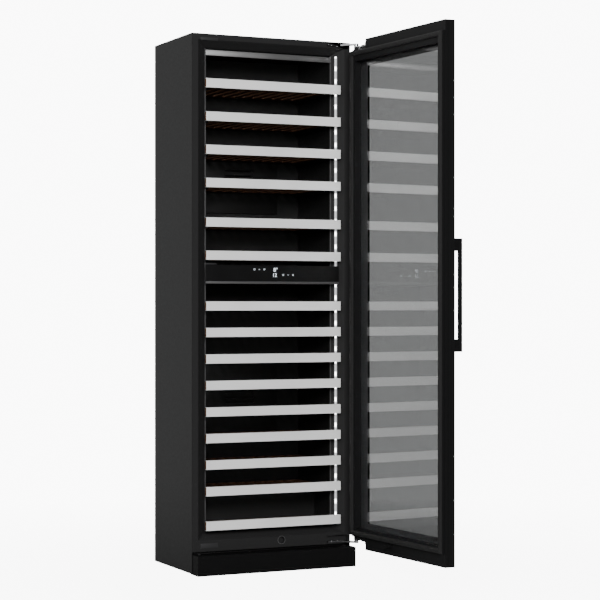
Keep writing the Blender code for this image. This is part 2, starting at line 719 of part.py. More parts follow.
def make_door():
    """The door: framed double glazing with a seal, a bar handle, hinge brackets and a lock."""
    door = bpy.data.objects.new("door_pivot", None)
    door.location = PIVOT
    door.rotation_euler = (0.0, 0.0, math.radians(OPEN_ANGLE))
    bpy.context.scene.collection.objects.link(door)
    make_door_frame(door)
    make_panes(door)
    make_gasket(door)
    make_handle(door)
    make_lock(door)
    make_hinge_brackets(door)


def make_door_frame(door):
    land_y = DOOR_INNER_Y + DOOR_LAND
    seat = DOOR_STILE - REBATE
    pane_low, pane_high = DOOR_VIEW_BOTTOM - REBATE, DOOR_VIEW_TOP + REBATE
    loops = [
        door_loop(0.0, DOOR_BOTTOM, DOOR_TOP, -PROUD),
        door_loop(seat, pane_low, pane_high, -PROUD),
        door_loop(seat, pane_low, pane_high, PANE_SEAT_Y),
        door_loop(DOOR_STILE, DOOR_VIEW_BOTTOM, DOOR_VIEW_TOP, PANE_SEAT_Y),
        door_loop(DOOR_STILE, DOOR_VIEW_BOTTOM, DOOR_VIEW_TOP, land_y),
        door_loop(LAND_EDGE, LAND_BOTTOM, LAND_TOP, land_y),
        door_loop(LAND_EDGE, LAND_BOTTOM, LAND_TOP, DOOR_INNER_Y),
        door_loop(0.0, DOOR_BOTTOM, DOOR_TOP, DOOR_INNER_Y),
    ]
    frame = ring("door_frame", loops, door)
    cuts = bmesh.new()
    near, far = HALF - NOTCH_LENGTH - PIVOT.x, NOTCH_END
    front, rear = -PROUD - OVERRUN - PIVOT.y, DOOR_INNER_Y + DOOR_LAND + OVERRUN - PIVOT.y
    add_box(cuts, (near, front, DOOR_TOP - NOTCH_TOP_DEPTH), (far, rear, DOOR_TOP + OVERRUN))
    add_box(cuts, (near, front, DOOR_BOTTOM - OVERRUN), (far, rear, DOOR_BOTTOM + NOTCH_BOTTOM_DEPTH))
    barrel = rod(LOCK_RADIUS + GAP, front, rear)
    add_lathe(cuts, barrel, (LOCK_X - PIVOT.x, 0.0, LOCK_Z), axis="Y", segments=24)
    free_end = -HALF - PIVOT.x
    for start, width in GROOVES:
        near_y = DOOR_INNER_Y - start - width - PIVOT.y
        add_box(cuts, (free_end - OVERRUN, near_y, DOOR_BOTTOM - OVERRUN),
                (free_end + GROOVE_DEPTH, near_y + width, DOOR_TOP + OVERRUN))
    cut(frame, object_from("door_cuts", cuts, door))
    finish(frame, BLACK, 0.4, 0.3)


def make_panes(door):
    """Outer and inner pane of the double glazing, in the rebate of the door frame."""
    inset = DOOR_STILE - REBATE + GAP
    left, right = -HALF + inset - PIVOT.x, HALF - inset - PIVOT.x
    low, high = DOOR_VIEW_BOTTOM - REBATE + GAP, DOOR_VIEW_TOP + REBATE - GAP
    places = (("glass_outer", -PROUD + GAP), ("glass_inner", PANE_SEAT_Y - GAP - PANE))
    for name, front in places:
        front -= PIVOT.y
        pane = box(name, (left, front, low), (right, front + PANE, high), door)
        finish(pane, GLASS, 0.05, 0.0)


def make_gasket(door):
    """The seal strip round the door's land, tapering to the crest that meets the frame."""
    face = DOOR_INNER_Y + DOOR_LAND + GAP
    edge = LAND_EDGE + GASKET_EDGE
    low, high = LAND_BOTTOM + GASKET_LAND_EDGE, LAND_TOP - GASKET_LAND_EDGE

    def loop(inward, y):
        return door_loop(edge + inward, low + inward, high - inward, y)

    middle = GASKET_WIDTH / 2
    loops = [
        loop(0.0, face),
        loop(GASKET_TAPER, -GASKET_SHOULDER),
        loop(middle - GASKET_CREST, -GASKET_REST),
        loop(middle + GASKET_CREST, -GASKET_REST),
        loop(GASKET_WIDTH - GASKET_TAPER, -GASKET_SHOULDER),
        loop(GASKET_WIDTH, face),
    ]
    finish(ring("door_gasket", loops, door), DARK, 0.75, 0.0)


def make_handle(door):
    """A square bar on two posts that stand out of the door's face, near its free edge."""
    face = -PROUD - GAP - PIVOT.y
    grip = face - HANDLE_STANDOFF
    outer = grip - HANDLE_BAR
    low, high = HANDLE_BOTTOM, HANDLE_BOTTOM + HANDLE_LENGTH
    outline = [(face, low), (outer, low), (outer, high), (face, high), (face, high - HANDLE_POST),
               (grip, high - HANDLE_POST), (grip, low + HANDLE_POST), (face, low + HANDLE_POST)]
    middle = -HALF + HANDLE_INSET - PIVOT.x
    handle = prism("door_handle", outline, "X", middle - HANDLE_BAR / 2, middle + HANDLE_BAR / 2, door)
    bevel(handle, HANDLE_EDGE, 2)
    finish(handle, DARK, 0.35, 0.6)


def make_lock(door):
    """A key barrel through the door's foot, whose cam turns inside the frame's round keep."""
    pivot = bpy.data.objects.new("lock_pivot", None)
    pivot.location = (LOCK_X - PIVOT.x, 0.0, LOCK_Z)
    pivot.parent = door
    bpy.context.scene.collection.objects.link(pivot)
    front, rear = -PROUD - LOCK_PROUD - PIVOT.y, LOCK_REACH - PIVOT.y
    face = DOOR_INNER_Y + DOOR_LAND - LOCK_SUNK - PIVOT.y
    profile = [(0.0, front), (LOCK_RADIUS, front), (LOCK_RADIUS, face), (LOCK_STEM_RADIUS, face),
               (LOCK_STEM_RADIUS, rear), (0.0, rear)]
    barrel = lathe("lock_barrel", profile, (0.0, 0.0, 0.0), axis="Y", segments=24, parent=pivot)
    cam_rear = rear - CAM_TIP
    cam = box("lock_cam", (-CAM_REACH, cam_rear - CAM_THICK, -CAM_HALF_WIDTH),
              (CAM_REACH, cam_rear, CAM_HALF_WIDTH), pivot)
    slot = box("key_slot", (-KEY_HALF_WIDTH, front - OVERRUN, -KEY_HALF_HEIGHT),
               (KEY_HALF_WIDTH, front + KEY_DEPTH, KEY_HALF_HEIGHT), pivot)
    join(barrel, cam)
    cut(barrel, slot)
    finish(barrel, CHROME, 0.25, 1.0)


def main():
    clear_scene()
    make_casing()
    make_front_frame()
    make_liner()
    make_divider()
    make_lights()
    make_cooling()
    make_shelves()
    make_hinge_arms()
    make_door()


main()
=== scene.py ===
"""Looks of a tall two-zone wine cooler with its glass door open: finishes, fine pieces, light and camera.

Door pieces are modelled with the door shut, in front of the cabinet's face at Y = 0, and then swung open.
"""

import json
import math

import bpy
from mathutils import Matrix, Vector


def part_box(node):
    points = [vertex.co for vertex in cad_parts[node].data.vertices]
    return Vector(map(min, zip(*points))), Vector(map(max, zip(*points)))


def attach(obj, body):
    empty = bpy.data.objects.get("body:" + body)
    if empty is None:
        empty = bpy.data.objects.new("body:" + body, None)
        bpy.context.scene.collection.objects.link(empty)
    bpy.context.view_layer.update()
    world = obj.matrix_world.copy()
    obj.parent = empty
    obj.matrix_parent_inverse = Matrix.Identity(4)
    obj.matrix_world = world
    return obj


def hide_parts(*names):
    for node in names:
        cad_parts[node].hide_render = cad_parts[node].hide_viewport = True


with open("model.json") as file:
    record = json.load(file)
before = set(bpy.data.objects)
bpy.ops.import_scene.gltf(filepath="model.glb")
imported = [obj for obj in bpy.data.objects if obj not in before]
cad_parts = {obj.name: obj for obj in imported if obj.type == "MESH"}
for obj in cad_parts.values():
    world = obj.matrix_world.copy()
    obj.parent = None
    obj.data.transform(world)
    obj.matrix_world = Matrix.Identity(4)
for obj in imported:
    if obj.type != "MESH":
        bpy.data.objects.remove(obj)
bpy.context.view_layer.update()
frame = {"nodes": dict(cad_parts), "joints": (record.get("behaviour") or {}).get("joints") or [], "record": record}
NODES = frame["nodes"]
RECORD = frame["record"]
NODE_BODY = {node: body for body, nodes in RECORD["behaviour"]["bodies"].items() for node in nodes}
SLOT = {part["node"]: part["material_slot"] for part in RECORD["subparts"]}
SHELVES = range(1, 16)

# ---- places taken from the frame ----------------------------------------------------
FACE_LOW, FACE_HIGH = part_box("front_frame")
ROOF_LOW, ROOF_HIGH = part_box("liner_top")
WALL_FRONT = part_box("liner_back")[0].y
PANEL_LOW, PANEL_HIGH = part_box("control_panel")
BACK_LOW, BACK_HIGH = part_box("back_panel")
PLINTH_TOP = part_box("plinth")[1].z
UPPER_ARM_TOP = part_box("hinge_arm_top")[1].z
LOWER_ARM_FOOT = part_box("hinge_arm_bottom")[0].z
UPPER_BRACKET_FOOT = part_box("hinge_bracket_top")[0].z
LOWER_BRACKET_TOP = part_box("hinge_bracket_bottom")[1].z
GLASS_LOW, GLASS_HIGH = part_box("glass_inner")
STRIP_LOW, STRIP_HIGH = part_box("light_strip_upper")
LOCK_LOW, LOCK_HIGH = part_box("lock_barrel")
LOCK_LEVEL = (LOCK_LOW.z + LOCK_HIGH.z) / 2
DOOR_JOINT = next(joint for joint in frame["joints"] if joint["name"] == "door_hinge")
PIVOT = Vector(DOOR_JOINT["pos_m"])
DOOR_OPEN = math.radians(-DOOR_JOINT["range_deg"][0])
GLASS_INSET = 0.0005
GLASS_HALF = (GLASS_HIGH.y - GLASS_LOW.y) / 2 / math.sin(DOOR_OPEN) - GLASS_INSET

# ---- trims on the cabinet, in metres ------------------------------------------------
TRIM_FRONT, TRIM_BACK = 0.028, 0.0345
TRIM_FOOT, TRIM_HEAD = 0.0235, 0.0045
TRIM_EDGE = 0.0008
PANEL_LINE_RECESS = 0.0004
PANEL_LINE_FOOT, PANEL_LINE_HEAD = 0.0085, 0.0005
SENSOR_LEFT, SENSOR_RIGHT = -0.248, -0.210
SENSOR_RECESS = 0.001
SENSOR_FOOT, SENSOR_HEAD = 0.0015, 0.0065
SMALL_TRIM_EDGE = 0.0006
# name, foot and head of each cover plate
COVER_SPANS = (("top", 1.8030, 1.8127), ("bottom", 0.0873, 0.1036))
COVER_LEFT, COVER_RIGHT = -0.2660, -0.2020
COVER_STAND = 0.0010
BAFFLE_INSET = 0.0006
BAFFLE_FRONT, BAFFLE_BACK = 0.0186, 0.0200
BAFFLE_FOOT, BAFFLE_HEAD = 0.0245, 0.0370
THROAT_EDGE = ROOF_HIGH.x + 0.0003
# Lighter grey strips down both sides of the throat: a painted highlight where the throat edge catches light.
HIGHLIGHT_STRIP_IN, HIGHLIGHT_STRIP_OUT = 0.0012, 0.0027
HIGHLIGHT_STRIP_FRONT, HIGHLIGHT_STRIP_BACK = 0.0300, 0.0362
HIGHLIGHT_STRIP_FOOT, HIGHLIGHT_STRIP_HEAD = 0.0645, 0.0005
FINE_EDGE, SHEET_EDGE = 0.0004, 0.0003

# ---- display ------------------------------------------------------------------------
# name, words, left, foot and height
FIGURES = (("temperature_upper", "8°", 0.0000, 1.0230, 0.0130),
           ("temperature_lower", "12", -0.0043, 1.0054, 0.0122))
FIGURE_SHARE = 0.70
FIGURE_THICK = 0.00008
FIGURE_STAND = 0.0002
# x and z of each touch symbol's middle
SYMBOL_PLACES = ((-0.0709, 1.0305), (-0.0526, 1.0305), (-0.0343, 1.0305),
                 (0.0371, 1.0121), (0.0557, 1.0121), (0.0739, 1.0121))
MARK_FRONT, MARK_BACK = 0.0003, 0.0001
RING_OUTER, RING_INNER = 0.0030, 0.0022
DASH_HALF, DASH_THICK, DASH_EDGE = 0.0028, 0.0004, 0.00005
SQUARE_OUTER, SQUARE_INNER = 0.0024, 0.0016

# ---- screws -------------------------------------------------------------------------
BACK_SCREW_ROWS = 7
BACK_SCREW_SIDE, BACK_SCREW_END = 0.012, 0.02
BACK_SCREW_STAND = 0.0009
ARM_SCREW_PLACES = (0.228, 0.252)
ARM_SCREW_BACK, ARM_SCREW_SUNK, ARM_SCREW_RADIUS = 0.007, 0.0065, 0.0032
PLINTH_SCREW_SIDE, PLINTH_SCREW_FRONT = 0.272, -0.006
PLINTH_SCREW_STAND, PLINTH_SCREW_RADIUS = 0.0008, 0.004
BRACKET_SCREW_PLACES = (0.215, 0.245, 0.272)
BRACKET_SCREW_FRONT, BRACKET_SCREW_STAND, BRACKET_SCREW_RADIUS = -0.032, 0.0008, 0.0038
DOOR_SCREWS = 6
DOOR_SCREW_END, DOOR_SCREW_SIDE, DOOR_SCREW_FRONT, DOOR_SCREW_RADIUS = 0.10, 0.2905, -0.0085, 0.0016

# ---- air covers on the back wall ----------------------------------------------------
# name, foot and head of each cover
AIR_SPANS = (("upper", 1.235, 1.470), ("lower", 0.420, 0.700))
AIR_HALF, AIR_THICK, AIR_EDGE = 0.150, 0.0080, 0.0025
AIR_SLOTS, SLOT_PITCH = 5, 0.018
SLOT_HALF_WIDTH, SLOT_HALF_HEIGHT, SLOT_EDGE = 0.055, 0.004, 0.0035
CUTTER_FRONT, CUTTER_BACK = 0.02, 0.01

# ---- lock, hinges and door ----------------------------------------------------------
LOCK_ACROSS = 0.034
KEEP_OUTER, KEEP_INNER, KEEP_STAND = 0.0145, 0.0126, 0.0008
BEZEL_OUTER, BEZEL_INNER = 0.0125, 0.0095
BEZEL_FRONT, BEZEL_BACK = -0.0512, -0.0501
# name, foot and head of each metal edge
POCKET_EDGES = (("top_low", 1.8022, 1.8030), ("bottom_low", 0.0782, 0.0790), ("bottom_high", 0.1060, 0.1068))
POCKET_LEFT, POCKET_RIGHT = 0.2125, 0.2950
POCKET_STAND, POCKET_BEVEL = 0.0008, 0.0002
BRACKET_THICK = 0.004
# left, right, front, back and height of each link, along the shut door
LINKS = ((0.2790, 0.2925, -0.0455, -0.0240, 0.0130), (0.2500, 0.2680, -0.0440, -0.0200, 0.0110),
         (0.2190, 0.2410, -0.0430, -0.0220, 0.0125), (0.1950, 0.2090, -0.0440, -0.0180, 0.0190))
LINK_GAP, LINK_EDGE = 0.0004, 0.0012
SPACER_WIDTH, SPACER_FRONT, SPACER_BACK = 0.016, -0.0452, -0.0386
PRINT_SIDE, PRINT_LOW, PRINT_HIGH = 0.0495, 0.0262, 0.0227
# The inner pane's border is printed light grey: a painted reflection in the glass.
# pane, finish, front and back of each printed border
PRINTS = (("outer", "printed", -0.0456, -0.0453), ("inner", "inside_print_painted_reflection", -0.0385, -0.0382))

# ---- edges of the rounded copies ----------------------------------------------------
ROUNDED = {"front_frame": 0.0012, "plinth": 0.0012, "door_frame": 0.0008, "zone_divider": 0.0008,
           "control_panel": 0.0006, "hinge_arm_top": 0.0006, "hinge_arm_bottom": 0.0006,
           "hinge_bracket_top": 0.0005, "hinge_bracket_bottom": 0.0005, "door_handle": 0.0006,
           "side_panel_left": 0.0003, "side_panel_right": 0.0003, "rear_skid": 0.0006}
SHELF_FRONT_EDGE, SHELF_TRAY_EDGE = 0.0004, 0.0015
SAME_POINT = 0.00001
FLAT_ANGLE, CORNER_ANGLE, SMOOTH_ANGLE = 0.5, 25, 30
FACE_WEIGHT = 80
# The plinth takes a darker black than the casing: painted shade, as the light falls off towards the bottom.
# nodes that don't take the finish named by their own slot
LOOKS = {"plinth": "plinth_painted_shade", "lock_barrel": "moulded_black"}

# ---- screw heads and rings: sides, shares of a radius or a thickness, and turns ------
SCREW_SIDES, RING_SIDES = 24, 40
HEAD_HEIGHT, HEAD_ROUND = 0.6, 0.25
SOCKET_INSET, SOCKET_DEPTH = 0.28, 0.55
LIP_SHARE = 0.25
TURN_FRONT = (math.radians(90), 0.0, 0.0)
TURN_BACK = (math.radians(-90), 0.0, 0.0)
TURN_DOWN = (math.radians(180), 0.0, 0.0)
TURN_UP = (0.0, 0.0, 0.0)

# ---- how far each pattern is drawn out along X, Y and Z -----------------------------
ALONG_BRUSHING = (0.012, 1.0, 1.0)
ALONG_GROWTH = (0.08, 1.0, 1.0)
ALONG_PORES = (0.05, 1.0, 1.0)
ALONG_WIPING = (1.0, 1.0, 0.35)

# ---- glass and light strips ---------------------------------------------------------
GLASS_TINT = (0.505, 0.51, 0.51)
GLASS_IOR = 1.38
STRIP_TURN = math.radians(-40.53)
STRIP_ACROSS = Vector((math.cos(STRIP_TURN), math.sin(STRIP_TURN), 0.0))
DIODE_PITCH = 0.0445
LIGHT_STRENGTH = 16.0
LINE_GLOW, LINE_HALF, LINE_FADE = 0.05, 0.0006, 0.0014
SPOT_HALF, SPOT_FADE = 0.0010, 0.0036

# ---- stage, light and camera --------------------------------------------------------
WHITE = (1.0, 1.0, 1.0, 1.0)
FLOOR_RADIUS, FLOOR_SOLID, FLOOR_DROP = 2.4, 0.6, 0.0003
FLOOR_GREY = (0.45, 0.45, 0.45, 1.0)
FLOOR_SEEN = 8.0
ROOM_FRONT, ROOM_BACK = 0.14, 0.95
ROOM_FROM, ROOM_TO = -0.25, 0.55
WALL_SEEN = 10.0
LIGHT_AIM = (0.0, 0.0, 1.0)
CAMERA_PLACE = (-2.5664, -5.7089, 0.9076)
CAMERA_HEADING = 25.07
CAMERA_LENS = 109.4
CAMERA_SHIFT = 0.0089
SENSOR_WIDTH = 36.0


# ---- node tools ---------------------------------------------------------------------
def socket_group(name, inputs, outputs):
    """A node group with float or colour inputs, given as (name, type, default), and named outputs."""
    tree = bpy.data.node_groups.new(name, "ShaderNodeTree")
    kinds = {"value": "NodeSocketFloat", "colour": "NodeSocketColor"}
    for label, kind, default in inputs:
        socket = tree.interface.new_socket(label, in_out="INPUT", socket_type=kinds[kind])
        socket.default_value = default
    for label, kind in outputs:
        tree.interface.new_socket(label, in_out="OUTPUT", socket_type=kinds[kind])
    return tree, tree.nodes.new("NodeGroupInput"), tree.nodes.new("NodeGroupOutput")


def stretched_noise(tree, scale, detail, stretch=(1.0, 1.0, 1.0), roughness=0.5):
    """Noise on object coordinates, scaled per axis, whose scale is a number or another socket."""
    place = tree.nodes.new("ShaderNodeTexCoord")
    mapping = tree.nodes.new("ShaderNodeMapping")
    mapping.inputs["Scale"].default_value = stretch
    noise = tree.nodes.new("ShaderNodeTexNoise")
    noise.inputs["Detail"].default_value = detail
    noise.inputs["Roughness"].default_value = roughness
    if isinstance(scale, (int, float)):
        noise.inputs["Scale"].default_value = scale
    else:
        tree.links.new(scale, noise.inputs["Scale"])
    tree.links.new(place.outputs["Object"], mapping.inputs["Vector"])
    tree.links.new(mapping.outputs["Vector"], noise.inputs["Vector"])
    return noise.outputs["Fac"]


def blended(tree, factor, first, second):
    """Mixes two colours, each a socket or a value, by a factor socket."""
    mix = tree.nodes.new("ShaderNodeMix")
    mix.data_type = "RGBA"
    tree.links.new(factor, mix.inputs["Factor"])
    for name, value in (("A", first), ("B", second)):
        target = [s for s in mix.inputs if s.name == name and s.type == "RGBA"][0]
        if isinstance(value, tuple):
            target.default_value = value
        else:
            tree.links.new(value, target)
    return [s for s in mix.outputs if s.type == "RGBA"][0]


def remapped(tree, value, low, high, start=0.0, end=1.0):
    """Brings a value from one range to another, where each limit is a number or a socket."""
    node = tree.nodes.new("ShaderNodeMapRange")
    tree.links.new(value, node.inputs["Value"])
    limits = (("From Min", start), ("From Max", end), ("To Min", low), ("To Max", high))
    for name, limit in limits:
        if isinstance(limit, (int, float)):
            node.inputs[name].default_value = limit
        else:
            tree.links.new(limit, node.inputs[name])
    return node.outputs["Result"]


def maths(tree, operation, value, other=None):
    """One arithmetic step on a value socket."""
    node = tree.nodes.new("ShaderNodeMath")
    node.operation = operation
    tree.links.new(value, node.inputs[0])
    if isinstance(other, (int, float)):
        node.inputs[1].default_value = other
    elif other is not None:
        tree.links.new(other, node.inputs[1])
    return node.outputs["Value"]


def paint_group():
    """Sprayed or moulded skin: a faint colour drift, a fine pebble and an uneven gloss."""
    tree, given, out = socket_group(
        "sprayed_skin",
        [("Light", "colour", (0.03, 0.03, 0.03, 1.0)), ("Dark", "colour", (0.02, 0.02, 0.02, 1.0)),
         ("Pebble", "value", 900.0), ("Gloss", "value", 0.35), ("Dull", "value", 0.5)],
        [("Colour", "colour"), ("Roughness", "value"), ("Height", "value")])
    drift = stretched_noise(tree, scale=5.0, detail=5.0, roughness=0.75)
    pebble = stretched_noise(tree, given.outputs["Pebble"], detail=2.0)
    tree.links.new(blended(tree, drift, given.outputs["Dark"], given.outputs["Light"]), out.inputs["Colour"])
    rubbed = stretched_noise(tree, scale=160.0, detail=4.0)
    gloss = remapped(tree, rubbed, given.outputs["Gloss"], given.outputs["Dull"], start=0.3, end=0.7)
    tree.links.new(gloss, out.inputs["Roughness"])
    tree.links.new(pebble, out.inputs["Height"])
    return tree


def brushed_group():
    """Metal rubbed along X: long fine streaks that change colour, gloss and height."""
    tree, given, out = socket_group(
        "brushed_grain",
        [("Light", "colour", (0.7, 0.7, 0.7, 1.0)), ("Dark", "colour", (0.5, 0.5, 0.5, 1.0)),
         ("Fineness", "value", 900.0), ("Gloss", "value", 0.25), ("Dull", "value", 0.42)],
        [("Colour", "colour"), ("Roughness", "value"), ("Height", "value")])
    streaks = stretched_noise(tree, given.outputs["Fineness"], detail=3.0, stretch=ALONG_BRUSHING,
                              roughness=0.6)
    patches = stretched_noise(tree, scale=9.0, detail=2.0)
    lines = remapped(tree, streaks, 0.0, 1.0, start=0.3, end=0.7)
    tree.links.new(blended(tree, lines, given.outputs["Dark"], given.outputs["Light"]), out.inputs["Colour"])
    gloss = remapped(tree, patches, given.outputs["Gloss"], given.outputs["Dull"], start=0.3, end=0.7)
    tree.links.new(gloss, out.inputs["Roughness"])
    tree.links.new(streaks, out.inputs["Height"])
    return tree


def wood_group():
    """Wood with its grain along X: growth bands and dark pores."""
    tree, given, out = socket_group(
        "wood_grain",
        [("Light", "colour", (0.5, 0.28, 0.14, 1.0)), ("Dark", "colour", (0.28, 0.13, 0.06, 1.0)),
         ("Bands", "value", 30.0), ("Gloss", "value", 0.42), ("Dull", "value", 0.68)],
        [("Colour", "colour"), ("Roughness", "value"), ("Height", "value")])
    bands = stretched_noise(tree, given.outputs["Bands"], detail=5.0, stretch=ALONG_GROWTH, roughness=0.65)
    pores = stretched_noise(tree, scale=420.0, detail=3.0, stretch=ALONG_PORES)
    growth = remapped(tree, bands, 0.0, 1.0, start=0.32, end=0.68)
    base = blended(tree, growth, given.outputs["Dark"], given.outputs["Light"])
    dark = remapped(tree, pores, 0.0, 0.55, start=0.58, end=0.72)
    tree.links.new(blended(tree, dark, base, given.outputs["Dark"]), out.inputs["Colour"])
    gloss = remapped(tree, pores, given.outputs["Gloss"], given.outputs["Dull"], start=0.35, end=0.65)
    tree.links.new(gloss, out.inputs["Roughness"])
    tree.links.new(pores, out.inputs["Height"])
    return tree


def wiped_group():
    """Polished surface with wiping marks: an uneven gloss and a very slight waviness."""
    tree, given, out = socket_group(
        "wiped_gloss",
        [("Light", "colour", (0.02, 0.02, 0.02, 1.0)), ("Dark", "colour", (0.01, 0.01, 0.01, 1.0)),
         ("Wipes", "value", 14.0), ("Gloss", "value", 0.03), ("Dull", "value", 0.10)],
        [("Colour", "colour"), ("Roughness", "value"), ("Height", "value")])
    wipes = stretched_noise(tree, given.outputs["Wipes"], detail=4.0, stretch=ALONG_WIPING, roughness=0.6)
    waves = stretched_noise(tree, scale=3.0, detail=1.0)
    tree.links.new(blended(tree, wipes, given.outputs["Dark"], given.outputs["Light"]), out.inputs["Colour"])
    gloss = remapped(tree, wipes, given.outputs["Gloss"], given.outputs["Dull"], start=0.4, end=0.75)
    tree.links.new(gloss, out.inputs["Roughness"])
    tree.links.new(waves, out.inputs["Height"])
    return tree


GROUPS = {"sprayed": paint_group(), "brushed": brushed_group(), "wood": wood_group(), "wiped": wiped_group()}


def finish(name, effect, light, dark, spacing, gloss, bump, metallic=0.0, specular=0.5, coat=0.0):
    """A material whose colour, gloss and height come from one of the shared effects.

    The spacing is that effect's pattern scale, gloss the roughness at its glossiest and dullest, and bump the
    pattern's height in metres.
    """
    material = bpy.data.materials.new(name)
    material.use_nodes = True
    tree = material.node_tree
    shader = tree.nodes["Principled BSDF"]
    node = tree.nodes.new("ShaderNodeGroup")
    node.node_tree = GROUPS[effect]
    node.inputs[0].default_value = (*light, 1.0)
    node.inputs[1].default_value = (*dark, 1.0)
    node.inputs[2].default_value = spacing
    node.inputs[3].default_value = gloss[0]
    node.inputs[4].default_value = gloss[1]
    height = tree.nodes.new("ShaderNodeBump")
    height.inputs["Strength"].default_value = 1.0
    height.inputs["Distance"].default_value = bump
    tree.links.new(node.outputs["Height"], height.inputs["Height"])
    tree.links.new(height.outputs["Normal"], shader.inputs["Normal"])
    tree.links.new(node.outputs["Colour"], shader.inputs["Base Color"])
    tree.links.new(node.outputs["Roughness"], shader.inputs["Roughness"])
    shader.inputs["Metallic"].default_value = metallic
    shader.inputs["Specular IOR Level"].default_value = specular
    shader.inputs["Coat Weight"].default_value = coat
    shader.inputs["Coat Roughness"].default_value = 0.12
    return material


def tinted_glass():
    """Grey float glass with faint wiping marks in its gloss."""
    material = finish("tinted_glass", "wiped", GLASS_TINT, GLASS_TINT,
                      spacing=6.0, gloss=(0.0, 0.025), bump=0.00002)
    shader = material.node_tree.nodes["Principled BSDF"]
    shader.inputs["Transmission Weight"].default_value = 1.0
    shader.inputs["IOR"].default_value = GLASS_IOR
    return material


def lit_diffuser():
    """A white light strip: a thin bright line with a wider, brighter spot in front of each diode."""
    material = bpy.data.materials.new("lit_diffuser")
    material.use_nodes = True
    tree = material.node_tree
    shader = tree.nodes["Principled BSDF"]
    place = tree.nodes.new("ShaderNodeTexCoord")
    split = tree.nodes.new("ShaderNodeSeparateXYZ")
    tree.links.new(place.outputs["Object"], split.inputs["Vector"])
    turns = maths(tree, "MULTIPLY", split.outputs["Z"], 2 * math.pi / DIODE_PITCH)
    diode = remapped(tree, maths(tree, "COSINE", turns), 0.0, 1.0, 0.2, 1.0)
    across = tree.nodes.new("ShaderNodeVectorMath")
    across.operation = "DOT_PRODUCT"
    across.inputs[1].default_value = STRIP_ACROSS
    tree.links.new(place.outputs["Object"], across.inputs[0])
    middle = (STRIP_LOW + STRIP_HIGH) / 2
    offset = maths(tree, "SUBTRACT", across.outputs["Value"], middle.dot(STRIP_ACROSS))
    away = maths(tree, "ABSOLUTE", offset)
    line = remapped(tree, away, LINE_GLOW, 0.01, LINE_HALF, LINE_FADE)
    spot = maths(tree, "MULTIPLY", diode, remapped(tree, away, 1.0, 0.0, SPOT_HALF, SPOT_FADE))
    glow = maths(tree, "MAXIMUM", line, spot)
    colour = blended(tree, glow, (0.01, 0.0105, 0.011, 1.0), WHITE)
    tree.links.new(colour, shader.inputs["Emission Color"])
    shader.inputs["Base Color"].default_value = (0.25, 0.25, 0.26, 1.0)
    shader.inputs["Emission Strength"].default_value = LIGHT_STRENGTH
    haze = stretched_noise(tree, scale=300.0, detail=2.0)
    tree.links.new(remapped(tree, haze, 0.4, 0.55), shader.inputs["Roughness"])
    return material


def glowing(name, colour, strength):
    """A lit symbol behind the touch front, a little uneven as printed film is."""
    material = finish(name, "wiped", colour, colour, spacing=200.0, gloss=(0.2, 0.3), bump=0.00001)
    tree = material.node_tree
    shader = tree.nodes["Principled BSDF"]
    mask = stretched_noise(tree, scale=600.0, detail=2.0)
    dim = tuple(0.75 * part for part in colour)
    tree.links.new(blended(tree, mask, (*dim, 1.0), (*colour, 1.0)), shader.inputs["Emission Color"])
    shader.inputs["Emission Strength"].default_value = strength
    return material


